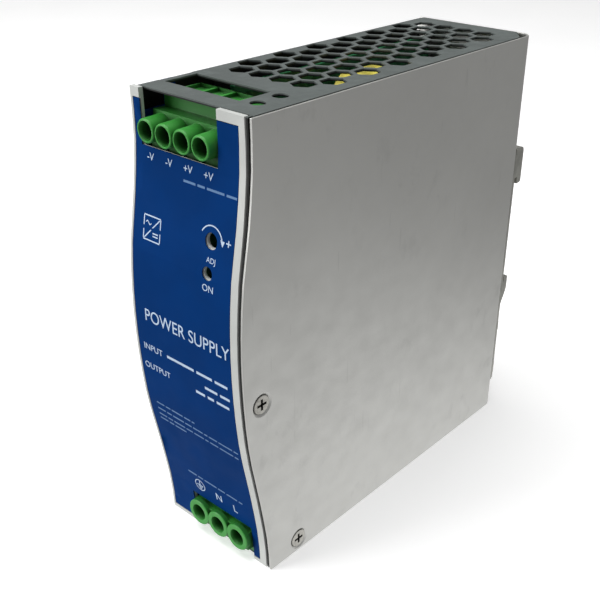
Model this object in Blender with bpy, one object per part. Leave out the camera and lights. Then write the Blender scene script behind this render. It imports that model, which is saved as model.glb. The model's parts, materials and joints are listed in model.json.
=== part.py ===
"""DIN rail power supply: folded steel case, moulded front, screw terminals, rail clip and electronics.

Lengths are in millimetres in the case's own frame: X to the right seen from the front, Y from the
front top edge to the rear, Z up from the bottom. make() turns them into metres and moves the origin
to the middle of the footprint, under the case.
"""

import math

import bmesh
import bpy
from mathutils import Vector
from mathutils.geometry import tessellate_polygon

MM = 0.001

# Case
WIDTH = 40.0
HEIGHT = 125.2
DEPTH = 113.5
SHEET = 0.7
BEND_RADIUS = 1.8
REAR_BEND_RADIUS = 4.2
GAP = 0.3
LEFT, RIGHT = -WIDTH / 2, WIDTH / 2
LINER_RIGHT = RIGHT - SHEET - GAP
COVER_SCREWS = ((0.9, 54.5), (13.75, 3.9))
SCREW_CLEARANCE = 1.5

# Front profile: how far the face stands back from the top edge at each height
FACE_KNOTS = ((0, 2.7), (10, 2.1), (24, -0.1), (43.7, -3.6), (66, -5.0), (85.5, -4.07),
              (100, -1.6), (114, 0.0), (HEIGHT, 0.0))
FACE_STEPS = 20
PANEL_THICK = 1.3
PANEL_TOP = HEIGHT - 0.1
PANEL_RIGHT = 18.2
RIM = 2.3
LABEL_THICK = 0.25
LABEL_RIGHT = PANEL_RIGHT - RIM - 0.2

# The panel's right edge and the flange beside it lean in above this height, by this much at the top
LEAN_FROM = 84.0
LEAN = 0.5
FLANGE_BACK = 8.5
BULGE = -min(y for _, y in FACE_KNOTS)

# Rail clip, on the rear wall
RAIL_HEIGHT = 35.0
RAIL_MIDDLE = HEIGHT / 2
LIP_OVERLAP = 1.2
SEAT_Y = DEPTH + GAP + 1.2
LIP_INNER_Y = SEAT_Y + 1.3
CLIP_REAR_Y = DEPTH + 5.0
CLIP_HALF = 18.2
CLIP_SCREWS_Z = (56.0, 70.0)
RAIL_TOP_Z = RAIL_MIDDLE + RAIL_HEIGHT / 2
RAIL_BOTTOM_Z = RAIL_MIDDLE - RAIL_HEIGHT / 2
HOOK_Z = RAIL_TOP_Z - LIP_OVERLAP
TOOTH_Z = RAIL_BOTTOM_Z + LIP_OVERLAP
LATCH_HALF = 13.0
PAD_HEIGHT = 0.2
SPRING_SEAT_Z = 14.0
SPRING_TOP_Z = 23.6
SPRING_RADIUS, SPRING_WIRE = 1.0, 0.22
SPRING_Y = SEAT_Y + GAP + SPRING_RADIUS + SPRING_WIRE

# Screw terminals
OUT_POLES = tuple(-3.7 + 6.2 * (i - 1.5) for i in range(4))
OUT_AXIS_Z = 116.1
OUT_FRONT_Y = -2.0
IN_POLES = tuple(1.85 + 7.62 * (i - 1) for i in range(3))
IN_AXIS_Z = 6.85
IN_FRONT_Y = 0.2
IN_COLLAR = 3.95
CLAMP_Y = 11.5
CLAMP_TRAVEL = 1.75
OUT_OPENING = (-16.8, 9.2, 111.8, HEIGHT + 5)
IN_OPENING = (-9.8, 13.5, -5.0, 11.4)
CLAMP_REAR = CLAMP_Y + 4.9

# The left wall's height under the notch in its top fold
NOTCH_Z = 123.6

# Controls behind the front
ADJUST = (8.3, 95.1)
LAMP = (7.8, 87.3)

# Board, parallel to the left wall
BOARD_LEFT, BOARD_RIGHT = -14.6, -13.0
FOOT = BOARD_RIGHT + GAP

ORIGIN = Vector((0, (CLIP_REAR_Y - BULGE) / 2, 0))

FINISHES = {
    "case_grey": ((0.14, 0.16, 0.16), 0.45, 0.6),
    "bright_sheet": ((0.58, 0.58, 0.56), 0.3, 0.9),
    "panel_white": ((0.62, 0.63, 0.62), 0.45, 0.0),
    "label_blue": ((0.004, 0.035, 0.16), 0.4, 0.0),
    "terminal_green": ((0.05, 0.3, 0.06), 0.4, 0.0),
    "zinc": ((0.55, 0.56, 0.56), 0.35, 1.0),
    "clip_cast": ((0.45, 0.45, 0.42), 0.5, 0.6),
    "spring_steel": ((0.4, 0.4, 0.42), 0.3, 1.0),
    "tinned_copper": ((0.62, 0.6, 0.55), 0.35, 1.0),
    "board_green": ((0.02, 0.12, 0.05), 0.5, 0.0),
    "film_black": ((0.02, 0.02, 0.022), 0.55, 0.0),
    "control_white": ((0.7, 0.7, 0.66), 0.5, 0.0),
    "control_blue": ((0.02, 0.1, 0.4), 0.45, 0.0),
    "lamp_green": ((0.1, 0.45, 0.12), 0.2, 0.0),
    "sleeve_black": ((0.015, 0.016, 0.02), 0.35, 0.0),
    "ferrite": ((0.03, 0.03, 0.032), 0.6, 0.0),
    "tape_yellow": ((0.75, 0.68, 0.12), 0.4, 0.0),
    "box_yellow": ((0.6, 0.55, 0.12), 0.5, 0.0),
    "enamel_copper": ((0.45, 0.16, 0.05), 0.3, 0.8),
    "ceramic": ((0.62, 0.58, 0.5), 0.5, 0.0),
    "disc_green": ((0.05, 0.09, 0.05), 0.6, 0.0),
    "heatsink": ((0.6, 0.61, 0.62), 0.4, 1.0),
    "package_black": ((0.02, 0.02, 0.02), 0.5, 0.0),
}


# ---------------------------------------------------------------- tools

def clear_scene():
    for obj in list(bpy.data.objects):
        bpy.data.objects.remove(obj, do_unlink=True)


def finish(name):
    material = bpy.data.materials.get(name)
    if material:
        return material
    color, roughness, metallic = FINISHES[name]
    material = bpy.data.materials.new(name)
    material.use_nodes = True
    shader = material.node_tree.nodes["Principled BSDF"]
    shader.inputs["Base Color"].default_value = (*color, 1)
    shader.inputs["Roughness"].default_value = roughness
    shader.inputs["Metallic"].default_value = metallic
    return material


def lift(axis, point, height):
    """A point of a flat outline, at a height along the axis."""
    u, v = point
    return Vector({"X": (height, u, v), "Y": (u, height, v), "Z": (u, v, height)}[axis])


def prism(axis, outline, low, high, holes=(), to=None):
    """A straight solid over an outline given in the other two axes, with holes right through it."""
    bm = to or bmesh.new()
    rings = [outline, *holes]
    flat = [p for ring in rings for p in ring]
    caps = [range(len(outline))]
    if holes:
        caps = tessellate_polygon([[Vector((*p, 0)) for p in ring] for ring in rings])
    bottom = [bm.verts.new(lift(axis, p, low)) for p in flat]
    top = [bm.verts.new(lift(axis, p, high)) for p in flat]
    faces = [bm.faces.new([bottom[i] for i in reversed(tri)]) for tri in caps]
    faces += [bm.faces.new([top[i] for i in tri]) for tri in caps]
    start = 0
    for ring in rings:
        count = len(ring)
        for i in range(count):
            a, b = start + i, start + (i + 1) % count
            faces.append(bm.faces.new((bottom[a], bottom[b], top[b], top[a])))
        start += count
    bmesh.ops.recalc_face_normals(bm, faces=faces)
    return bm


def block(low, high, to=None):
    (x0, y0, z0), (x1, y1, z1) = low, high
    return prism("Z", ((x0, y0), (x1, y0), (x1, y1), (x0, y1)), z0, z1, to=to)


def turned(axis, centre, profile, segments=16, to=None):
    """A turned solid: profile holds (place along the axis, radius)."""
    bm = to or bmesh.new()
    rings = []
    for height, radius in profile:
        if radius == 0:
            rings.append([bm.verts.new(lift(axis, centre, height))])
            continue
        angles = [math.tau * (i + 0.5) / segments for i in range(segments)]
        rings.append([bm.verts.new(lift(axis, (centre[0] + radius * math.cos(a),
                                               centre[1] + radius * math.sin(a)), height))
                      for a in angles])
    faces = []
    for lower, upper in zip(rings, rings[1:]):
        for i in range(segments):
            j = (i + 1) % segments
            corners = [lower[i % len(lower)], lower[j % len(lower)],
                       upper[j % len(upper)], upper[i % len(upper)]]
            faces.append(bm.faces.new(list(dict.fromkeys(corners))))
    faces += [bm.faces.new(ring) for ring in (rings[0], rings[-1]) if len(ring) > 1]
    bmesh.ops.recalc_face_normals(bm, faces=faces)
    return bm


def disc(axis, centre, radius, low, high, segments=16, to=None):
    return turned(axis, centre, ((low, radius), (high, radius)), segments, to=to)


def arc(centre, radius, start, stop, steps):
    """Points on an arc, with its angles in degrees."""
    angles = [math.radians(start + (stop - start) * i / steps) for i in range(steps + 1)]
    return [(centre[0] + radius * math.cos(a), centre[1] + radius * math.sin(a)) for a in angles]


def rounded(low, high, radius, steps=3):
    """A rectangle's outline with round corners."""
    (u0, v0), (u1, v1) = low, high
    corners = ((u1, v1, 0), (u0, v1, 90), (u0, v0, 180), (u1, v0, 270))
    points = []
    for u, v, turn in corners:
        inward = (math.copysign(radius, u0 + u1 - 2 * u), math.copysign(radius, v0 + v1 - 2 * v))
        points += arc((u + inward[0], v + inward[1]), radius, turn, turn + 90, steps)
    return points


def temporary(bm):
    mesh = bpy.data.meshes.new("temporary")
    bm.to_mesh(mesh)
    bm.free()
    obj = bpy.data.objects.new("temporary", mesh)
    bpy.context.collection.objects.link(obj)
    return obj


def combine(base, other, operation):
    """The Boolean of two solids, both used up, as a new one."""
    first, second = temporary(base), temporary(other)
    modifier = first.modifiers.new("combine", "BOOLEAN")
    modifier.operation = operation
    modifier.solver = "EXACT"
    modifier.object = second
    result = bmesh.new()
    result.from_object(first, bpy.context.evaluated_depsgraph_get())
    for obj in (first, second):
        mesh = obj.data
        bpy.data.objects.remove(obj)
        bpy.data.meshes.remove(mesh)
    return result


def cut(base, *cutters):
    for cutter in cutters:
        base = combine(base, cutter, "DIFFERENCE")
    return base


def union(base, *others):
    for other in others:
        base = combine(base, other, "UNION")
    return base


def make(name, bm, material, origin=None):
    """A named object from a solid in millimetres, with its origin on a joint's axis where it moves."""
    base = Vector(origin) if origin else Vector((0, 0, 0))
    bmesh.ops.dissolve_degenerate(bm, dist=1e-4, edges=bm.edges)
    bmesh.ops.translate(bm, vec=-base, verts=bm.verts)
    bmesh.ops.scale(bm, vec=(MM, MM, MM), verts=bm.verts)
    mesh = bpy.data.meshes.new(name)
    bm.to_mesh(mesh)
    bm.free()
    mesh.shade_smooth()
    mesh.set_sharp_from_angle(angle=math.radians(30))
    mesh.materials.append(finish(material))
    obj = bpy.data.objects.new(name, mesh)
    obj.location = (base - ORIGIN) * MM
    bpy.context.collection.objects.link(obj)
    return obj


# ---------------------------------------------------------------- front profile

def face_y(z):
    """The front face's place at a height, on a smooth curve through FACE_KNOTS."""
    knots = FACE_KNOTS
    z = min(max(z, knots[0][0]), knots[-1][0])
    i = max(k for k in range(len(knots) - 1) if knots[k][0] <= z)

    def slope(k):
        before, after = knots[max(k - 1, 0)], knots[min(k + 1, len(knots) - 1)]
        return (after[1] - before[1]) / (after[0] - before[0])

    (z0, y0), (z1, y1) = knots[i], knots[i + 1]
    span = z1 - z0
    t = (z - z0) / span
    return ((2 * t ** 3 - 3 * t ** 2 + 1) * y0 + (t ** 3 - 2 * t ** 2 + t) * span * slope(i)
            + (3 * t ** 2 - 2 * t ** 3) * y1 + (t ** 3 - t ** 2) * span * slope(i + 1))


def face_line(offset, z0, z1):
    heights = [z0 + (z1 - z0) * i / FACE_STEPS for i in range(FACE_STEPS + 1)]
    return [(face_y(z) + offset, z) for z in heights]


def face_plate(x0, x1, front, back, z0, z1):
    """A plate that follows the front profile, between two depths behind it."""
    return prism("X", face_line(front, z0, z1) + face_line(back, z0, z1)[::-1], x0, x1)


def opening(box, edge=0.0):
    """A cutter through the front for one of the terminal openings, wider by an edge."""
    x0, x1, z0, z1 = box
    return block((x0 - edge, -20, z0 - edge), (x1 + edge, 20, z1 + edge))


# ---------------------------------------------------------------- case

def vent_cells():
    """The staggered rows of six-sided vents, in the flat of the top and bottom sheets."""
    pitch_x, pitch_y, middle_x, first_y, rows = 6.85, 6.35, -1.1, 27.7, 13
    half_width, half_flat, half_point = 2.85, 1.86, 3.5
    cell = ((0, half_point), (-half_width, half_flat), (-half_width, -half_flat),
            (0, -half_point), (half_width, -half_flat), (half_width, half_flat))
    for row in range(rows):
        count = 4 + row % 2
        for column in range(count):
            x = middle_x + pitch_x * (column - (count - 1) / 2)
            y = first_y + pitch_y * row
            yield [(x + u, y + v) for u, v in cell]


def vents(z0, z1):
    bm = bmesh.new()
    for cell in vent_cells():
        prism("Z", cell, z0, z1, to=bm)
    return bm


def case_section(inset):
    """The chassis section seen from the front: an open C with round folds on the left."""
    left, top, bottom = LEFT + inset, HEIGHT - inset, inset
    radius = BEND_RADIUS - inset
    line = [(LINER_RIGHT, top)]
    line += arc((left + radius, top - radius), radius, 90, 180, 4)
    line += arc((left + radius, bottom + radius), radius, 180, 270, 4)
    return line + [(LINER_RIGHT, bottom)]


def side_flange():
    """The strip folded forward from the chassis, which shows between the panel and the cover."""
    strip = face_plate(PANEL_RIGHT + GAP, LINER_RIGHT - 0.02, GAP, FLANGE_BACK, 0.1, HEIGHT - 0.1)
    for vert in strip.verts:
        vert.co.x -= LEAN * max(vert.co.z - LEAN_FROM, 0) / (HEIGHT - LEAN_FROM)
    return strip


def chassis_shell():
    rear = DEPTH - SHEET - GAP
    shell = prism("Y", case_section(0) + case_section(SHEET)[::-1], -6, rear)
    front_edge = face_line(PANEL_THICK + GAP, 0, HEIGHT)
    keep = [(rear + 5, -5), (front_edge[0][0], -5), *front_edge,
            (front_edge[-1][0], HEIGHT + 5), (rear + 5, HEIGHT + 5)]
    shell = combine(shell, prism("X", keep, LEFT - 5, RIGHT + 5), "INTERSECT")
    corner = 4.2
    rear_corners = prism("Z", ((LINER_RIGHT + 1, rear - 5.5), (LINER_RIGHT + 1, rear + 1),
                               (LINER_RIGHT - corner, rear + 1), (LINER_RIGHT - corner, rear),
                               (LINER_RIGHT, rear - 5.5)), -5, HEIGHT + 5)
    prism("Z", ((LEFT - 1, rear - 4), (LEFT + 0.1, rear - 4), (LEFT + 2.2, rear),
                (LEFT + 2.2, rear + 1), (LEFT - 1, rear + 1)), HEIGHT - 4, HEIGHT + 5, to=rear_corners)
    tab_notch = block((LEFT - 1, 7.7, NOTCH_Z), (LEFT + 1.8, 18.2, HEIGHT + 1))
    holes = block((-16.4, 7.6, HEIGHT - 3), (8.5, 17.6, HEIGHT + 3))
    for x, y, radius in ((12.3, 16.6, 2.0), (12.7, 9.1, 1.9)):
        disc("Z", (x, y), radius, HEIGHT - 3, HEIGHT + 3, to=holes)
    block((IN_POLES[0] - 3, CLAMP_Y - 4, -3), (IN_POLES[-1] + 3, CLAMP_Y + 4, 3), to=holes)
    shell = cut(shell, rear_corners, tab_notch, holes, vents(-5, HEIGHT + 5))
    screw_tab = block((LINER_RIGHT - 1.2, 8, SHEET / 2), (LINER_RIGHT, 20, 9))
    shell = union(shell, screw_tab, side_flange())
    for place in COVER_SCREWS:
        shell = cut(shell, disc("X", place, SCREW_CLEARANCE, LINER_RIGHT - 5, RIGHT + 1))
    return make("chassis_shell", shell, "case_grey")


def side_cover():
    """The right wall and the rear wall, one sheet bent round the rear edge."""
    def section(inset):
        radius = REAR_BEND_RADIUS - inset
        bend = arc((RIGHT - REAR_BEND_RADIUS, DEPTH - REAR_BEND_RADIUS), radius, 0, 90, 6)
        return [(RIGHT - inset, -8), *bend, (LEFT + 0.1, DEPTH - inset)]

    sheet = prism("Z", section(0) + section(SHEET)[::-1], 0.1, HEIGHT - 0.1)
    front = [(-30, -5), *face_line(0, -1, HEIGHT + 1), (-30, HEIGHT + 5)]
    sheet = cut(sheet, prism("X", front, RIGHT - 5, RIGHT + 5))
    dimples = bmesh.new()
    for place in COVER_SCREWS:
        turned("X", place, ((RIGHT - 3, 1.7), (RIGHT - SHEET, 2.3), (RIGHT, 3.3), (RIGHT + 1, 4.7)), 20,
               to=dimples)
    fixings = bmesh.new()
    for z in CLIP_SCREWS_Z:
        disc("Y", (0, z), 1.8, DEPTH - 3, DEPTH + 3, 12, to=fixings)
    return make("side_cover", cut(sheet, dimples, fixings), "bright_sheet")


def cross_recess(body, axis, centre, low, high, arms=(1.55, 0.35)):
    """Cuts a cross into a screw's head."""
    long, short = arms
    u, v = centre
    for half_u, half_v in ((long, short), (short, long)):
        bar = ((u - half_u, v - half_v), (u + half_u, v - half_v),
               (u + half_u, v + half_v), (u - half_u, v + half_v))
        body = cut(body, prism(axis, bar, low, high))
    return body


def cover_screw(index, place):
    """A countersunk screw with a cross recess, its head just under the sheet's face."""
    top = RIGHT - 0.1
    under = RIGHT - SHEET
    body = turned("X", place, ((RIGHT - 6.2, 0), (RIGHT - 5.6, 1.2), (under - 0.45, 1.2),
                               (under + 0.15, 1.55), (top - 0.15, 2.6), (top, 2.45)), 20)
    body = cross_recess(body, "X", place, top - 0.9, top + 1)
    return make(f"cover_screw_{index}", body, "zinc")


def front_panel():
    panel = face_plate(LEFT + 0.1, PANEL_RIGHT, 0, PANEL_THICK, 0.1, PANEL_TOP)
    recess = face_plate(LEFT + 0.8, PANEL_RIGHT - RIM, -2, LABEL_THICK + GAP, 1.2, PANEL_TOP - RIM)
    screw_y, screw_z = COVER_SCREWS[0]
    boss = block((12, face_y(screw_z) + 1.0, screw_z - 4.5), (PANEL_RIGHT, screw_y + 3.6, screw_z + 4.5))
    holes = disc("Y", ADJUST, 1.8, -20, 20, 20)
    disc("Y", LAMP, 1.5, -20, 20, 20, to=holes)
    taper = prism("Y", ((PANEL_RIGHT, LEAN_FROM), (25, LEAN_FROM), (25, HEIGHT),
                        (PANEL_RIGHT - LEAN, HEIGHT)), -20, 20)
    x0, x1, sill, _ = OUT_OPENING
    back = PANEL_THICK + 1
    slope = prism("X", ((0.3, sill), (back, sill - 1.4), (back, sill + 1), (0.3, sill + 1)), x0, x1)
    panel = cut(panel, recess, opening(OUT_OPENING), opening(IN_OPENING), slope, holes)
    panel = cut(union(panel, boss), disc("X", COVER_SCREWS[0], SCREW_CLEARANCE, 8, 25), taper)
    return make("front_panel", panel, "panel_white")


def front_label():
    """The printed film in the panel's recess."""
    film = face_plate(LEFT + 1.0, LABEL_RIGHT, 0, LABEL_THICK, 1.4, PANEL_TOP - RIM - 0.2)
    holes = disc("Y", ADJUST, 2.0, -20, 20, 20)
    disc("Y", LAMP, 1.7, -20, 20, 20, to=holes)
    film = cut(film, holes, opening(OUT_OPENING, 0.2), opening(IN_OPENING, 0.2))
    return make("front_label", film, "label_blue")


def panel_snap_tab():
    """The catch behind the panel's upper left corner, which shows in the notch of the top fold."""
    inner, outer = LEFT + 1.8, LEFT + 1.0
    arm = block((outer, PANEL_THICK + GAP, 112), (inner, 12.5, 119))
    tooth = prism("Y", ((inner, 118), (inner, 122.8), (outer + 0.3, 124.8), (LEFT + 0.4, 124.8),
                        (LEFT + 0.4, NOTCH_Z + 0.35), (outer, NOTCH_Z - 0.1), (outer, 118)), 9.0, 12.4)
    return make("panel_snap_tab", union(arm, tooth), "label_blue")


# ---------------------------------------------------------------- rail clip

def din_clip_base():
    """Fixed clip plate: two hooks over the rail's upper edge, and straps that hold the latch."""
    plate_low, inside = DEPTH + GAP, SEAT_Y - 0.6
    plate = prism("Y", rounded((-CLIP_HALF, 6.5), (CLIP_HALF, 90.6), 2.0), plate_low, SEAT_Y - PAD_HEIGHT)
    pad = prism("Y", rounded((-CLIP_HALF + 0.8, TOOTH_Z + 1), (CLIP_HALF - 0.8, HOOK_Z - 1), 1.0, 1),
                SEAT_Y - 0.8, SEAT_Y)
    plate = union(plate, pad)
    slide = LATCH_HALF + GAP
    plate = cut(plate, block((-slide, plate_low - 5, 0), (slide, SEAT_Y + 5, RAIL_BOTTOM_Z)))
    hook = [(inside, 90.6), *arc((CLIP_REAR_Y - 1.4, 89.2), 1.4, 90, 0, 4),
            *arc((CLIP_REAR_Y - 0.8, HOOK_Z + 0.8), 0.8, 0, -90, 3),
            (LIP_INNER_Y, HOOK_Z), (LIP_INNER_Y, RAIL_TOP_Z + 0.9), (inside, RAIL_TOP_Z + 0.9)]
    for x0, x1 in ((-CLIP_HALF, -6.5), (6.5, CLIP_HALF)):
        plate = union(plate, prism("X", hook, x0, x1))
    strap_low = SEAT_Y + GAP
    strap_top = strap_low + 1.1
    strap = [(-CLIP_HALF, inside), (-slide, inside), (-slide, strap_low), (slide, strap_low),
             (slide, inside), (CLIP_HALF, inside), (CLIP_HALF - 0.8, strap_top),
             (-CLIP_HALF + 0.8, strap_top)]
    for z0, z1 in ((9.5, SPRING_SEAT_Z - GAP), (26.4, 29.4)):
        plate = union(plate, prism("Z", strap, z0, z1))
    screws = bmesh.new()
    for z in CLIP_SCREWS_Z:
        turned("Y", (0, z), ((DEPTH - 1, 1.5), (plate_low + 0.2, 1.8), (SEAT_Y, 3.0), (SEAT_Y + 1, 4.0)),
               to=screws)
    return make("din_clip_base", cut(plate, screws), "clip_cast")


def clip_screw(index, z):
    top = SEAT_Y - 0.1
    body = turned("Y", (0, z), ((DEPTH - 4.5, 0), (DEPTH - 4, 1.2), (DEPTH + GAP, 1.2), (top, 2.6)))
    body = cross_recess(body, "Y", (0, z), top - 0.7, top + 1, (1.4, 0.35))
    return make(f"clip_screw_{index}", body, "zinc")


def din_latch():
    """Sliding latch: a wedge-faced tooth under the rail's lower edge, and a slot to pull it down by."""
    plate_low = DEPTH + GAP
    plate_top = RAIL_BOTTOM_Z - 0.5
    plate = prism("Y", rounded((-LATCH_HALF, 6.2), (LATCH_HALF, plate_top), 1.0), plate_low, SEAT_Y)
    tooth_low = SEAT_Y + GAP
    tooth = [(tooth_low, 35.0), (CLIP_REAR_Y - 0.4, 40.5), (CLIP_REAR_Y, 41.8),
             *arc((CLIP_REAR_Y - 0.9, TOOTH_Z - 0.9), 0.9, 0, 90, 3),
             (LIP_INNER_Y, TOOTH_Z), (LIP_INNER_Y, plate_top), (tooth_low, plate_top)]
    wide = prism("X", tooth, -CLIP_HALF + 0.6, CLIP_HALF - 0.6)
    root = block((-LATCH_HALF + 1, SEAT_Y - 0.6, 36.0), (LATCH_HALF - 1, tooth_low + 0.5, plate_top))
    seat = block((-2.2, SEAT_Y - 0.6, SPRING_TOP_Z + GAP), (2.2, SPRING_Y + 1.4, SPRING_TOP_Z + 1.8))
    plate = union(plate, wide, root, seat)
    slot = prism("Y", rounded((-4.0, 7.2), (4.0, 9.0), 0.8), plate_low - 3, SEAT_Y + 3)
    return make("din_latch", cut(plate, slot), "clip_cast", origin=(0, SEAT_Y, 20))


def latch_spring():
    """A coil spring standing on the lower strap, pushing the latch's seat up."""
    turns, per_turn, sides = 7, 9, 4
    low, high = SPRING_SEAT_Z + SPRING_WIRE, SPRING_TOP_Z - SPRING_WIRE
    bm = bmesh.new()
    rings = []
    count = turns * per_turn
    for i in range(count + 1):
        angle = math.tau * i / per_turn
        out = Vector((math.cos(angle), math.sin(angle), 0))
        centre = Vector((0, SPRING_Y, low + (high - low) * i / count)) + out * SPRING_RADIUS
        ring = []
        for k in range(sides):
            turn = math.tau * k / sides
            offset = out * math.cos(turn) + Vector((0, 0, math.sin(turn)))
            ring.append(bm.verts.new(centre + offset * SPRING_WIRE))
        rings.append(ring)
    for lower, upper in zip(rings, rings[1:]):
        for k in range(sides):
            m = (k + 1) % sides
            bm.faces.new((lower[k], lower[m], upper[m], upper[k]))
    bm.faces.new(rings[0])
    bm.faces.new(rings[-1])
    bmesh.ops.recalc_face_normals(bm, faces=bm.faces)
    return make("latch_spring", bm, "spring_steel")


# ---------------------------------------------------------------- terminals

class Clamp:
    """Heights in one rising clamp, measured from the wire's axis towards the screw's head."""
    cage_far = (-3.1, -2.3)
    bar = (0.6, 1.2)
    cage_near = (1.5, 2.4)
    head = (2.4 + CLAMP_TRAVEL + 0.2, 2.4 + CLAMP_TRAVEL + 1.2)
    thread_radius = 1.2
    head_radius = 1.75


def terminal(side):
    """The axis height, the direction of the screw heads, and the poles of one terminal block."""
    return (OUT_AXIS_Z, 1, OUT_POLES) if side == "output" else (IN_AXIS_Z, -1, IN_POLES)


def span(side, low, high):
    axis_z, up, _ = terminal(side)
    return sorted((axis_z + up * low, axis_z + up * high))


def hollow_out(body, side, front_y, mouth):
    """Cuts wire entries, clamp chambers, head pockets and screwdriver holes into a terminal block."""
    axis_z, _, poles = terminal(side)
    chamber = span(side, -9, Clamp.head[0] - 0.1)
    pocket = span(side, Clamp.head[0] - 0.4, Clamp.head[1] + 0.15)
    bore = span(side, Clamp.head[1], Clamp.head[1] + 9)
    tools = [bmesh.new() for _ in range(4)]
    for x in poles:
        turned("Y", (x, axis_z), ((front_y - 1, mouth + 0.1), (front_y + 0.6, mouth - 0.05),
                                  (front_y + 1.2, mouth - 0.3), (CLAMP_Y - 2, mouth - 0.45)), 20,
               to=tools[0])
        block((x - 2.45, CLAMP_Y - 2.8, chamber[0]), (x + 2.45, CLAMP_Y + 5.4, chamber[1]), to=tools[1])
        disc("Z", (x, CLAMP_Y), Clamp.head_radius + 0.25, *pocket, to=tools[2])
        disc("Z", (x, CLAMP_Y), 1.45, *bore, to=tools[3])
    return cut(body, *tools)


def output_terminal_housing():
    """Four barrels on a stepped block, with a square pocket over each screw."""
    x0, x1 = OUT_POLES[0] - 3.3, OUT_POLES[-1] + 3.3
    section = ((3.4, 109.2), (19.2, 109.2), (19.2, 122.4), (18.8, 122.9), (7.0, 122.9), (7.0, 119.7),
               (3.4, 119.7))
    body = prism("X", section, x0, x1)
    pockets = bmesh.new()
    for x in OUT_POLES:
        barrel = turned("Y", (x, OUT_AXIS_Z), ((OUT_FRONT_Y, 2.75), (OUT_FRONT_Y + 0.25, 2.95),
                                               (2.2, 3.02), (4.2, 3.3)), 20)
        skirt = block((x - 2.6, PANEL_THICK + 0.5, 109.4), (x + 2.6, 4.0, OUT_AXIS_Z))
        body = union(body, barrel, skirt)
        block((x - 2.65, 8.2, 122.0), (x + 2.65, 18.2, 124), to=pockets)
    body = hollow_out(cut(body, pockets), "output", OUT_FRONT_Y, 2.4)
    return make("output_terminal_housing", body, "terminal_green")


def input_terminal_housing():
    """Three round collars in front of a plain block, joined by a neck through the panel's opening."""
    collar_back = IN_FRONT_Y + 1.5
    x0, x1 = IN_POLES[0] - 3.6, IN_POLES[-1] + 3.6
    front, step, low, shoulder, top = 4.0, 8.4, 1.0, 9.4, 11.0
    section = ((front, low), (19.2, low), (19.2, top), (step, top), (step, shoulder), (front, shoulder))
    neck = block((x0 + 0.4, collar_back - 0.4, 3.4), (x1 - 0.4, front + 0.4, shoulder - 0.1))
    body = union(prism("X", section, x0, x1), neck)
    for x in IN_POLES:
        collar = turned("Y", (x, IN_AXIS_Z), ((IN_FRONT_Y, IN_COLLAR - 0.2), (IN_FRONT_Y + 0.2, IN_COLLAR),
                                              (collar_back, IN_COLLAR)), 28)
        body = union(body, collar)
    return make("input_terminal_housing", hollow_out(body, "input", IN_FRONT_Y, 2.5), "terminal_green")


def clamp_screw(side, index, x):
    """A slotted screw, held by the housing so that it only turns."""
    thread = span(side, 1.5, Clamp.head[0] + 0.1)
    head = span(side, *Clamp.head)
    body = union(disc("Z", (x, CLAMP_Y), Clamp.thread_radius, *thread, 12),
                 disc("Z", (x, CLAMP_Y), Clamp.head_radius, *head, 16))
    slot = span(side, Clamp.head[1] - 0.6, Clamp.head[1] + 1)
    body = cut(body, block((x - 3, CLAMP_Y - 0.25, slot[0]), (x + 3, CLAMP_Y + 0.25, slot[1])))
    return make(f"{side}_clamp_screw_{index}", body, "zinc", origin=(x, CLAMP_Y, terminal(side)[0]))


def clamp_cage(side, index, x):
    """The cage that climbs its screw and pulls the wire up against the contact bar."""
    outer = span(side, Clamp.cage_far[0], Clamp.cage_near[1])
    inner = span(side, Clamp.cage_far[1], Clamp.cage_near[0])
    body = block((x - 2.15, CLAMP_Y - 2.3, outer[0]), (x + 2.15, CLAMP_Y + 2.3, outer[1]))
    body = cut(body, block((x - 1.6, CLAMP_Y - 4, inner[0]), (x + 1.6, CLAMP_Y + 4, inner[1])),
               disc("Z", (x, CLAMP_Y), Clamp.thread_radius + 0.2, *span(side, 1.3, 4), 12))
    return make(f"{side}_clamp_cage_{index}", body, "zinc", origin=(x, CLAMP_Y, terminal(side)[0]))


def contact_bar(side, index, x, pin_end):
    """The fixed bar in the cage, bent down into a solder pin."""
    axis_z, up, _ = terminal(side)
    z0, z1 = axis_z + up * Clamp.bar[0], axis_z + up * Clamp.bar[1]
    rear = CLAMP_REAR
    outline = ((CLAMP_Y - 2.3, z0), (CLAMP_Y - 2.3, z1), (rear, z1), (rear, z0 - up * 2.5),
               (rear - 0.1, pin_end), (rear - 0.5, pin_end), (rear - 0.6, z0))
    bar = prism("X", outline, x - 1.25, x + 1.25)
    return make(f"{side}_contact_{index}", bar, "tinned_copper")


def terminal_boards():
    """Small boards that carry the terminal blocks and take their solder pins."""
    for side, x0, x1, z0, z1 in (("output", -16.6, 9.4, 106.9, 108.5), ("input", -9.4, 13.1, 13.6, 15.2)):
        holes = bmesh.new()
        for x in terminal(side)[2]:
            block((x - 1.6, CLAMP_REAR - 1.0, z0 - 1), (x + 1.6, CLAMP_REAR + 0.5, z1 + 1), to=holes)
        board = cut(block((x0, 5.5, z0), (x1, 24.0, z1)), holes)
        make(f"{side}_terminal_board", board, "board_green")


def terminals():
    output_terminal_housing()
    input_terminal_housing()
    for side, pin_end in (("output", 105.9), ("input", 16.2)):
        for index, x in enumerate(terminal(side)[2], 1):
            clamp_screw(side, index, x)
            clamp_cage(side, index, x)
            contact_bar(side, index, x, pin_end)
    terminal_boards()


# ---------------------------------------------------------------- boards and controls

def main_board():
    """The board along the left wall, notched at the front for the terminal boards."""
    outline = ((6, 22), (24.6, 22), (24.6, 4), (109, 4), (109, 121), (26.5, 121), (26.5, 104),
               (6, 104))
    holes = [arc((y, z), 1.6, 0, 324, 9) for y, z in ((30, 8), (104, 8), (104, 117), (30, 117))]
    return make("main_board", prism("X", outline, BOARD_LEFT, BOARD_RIGHT, holes), "board_green")


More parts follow.
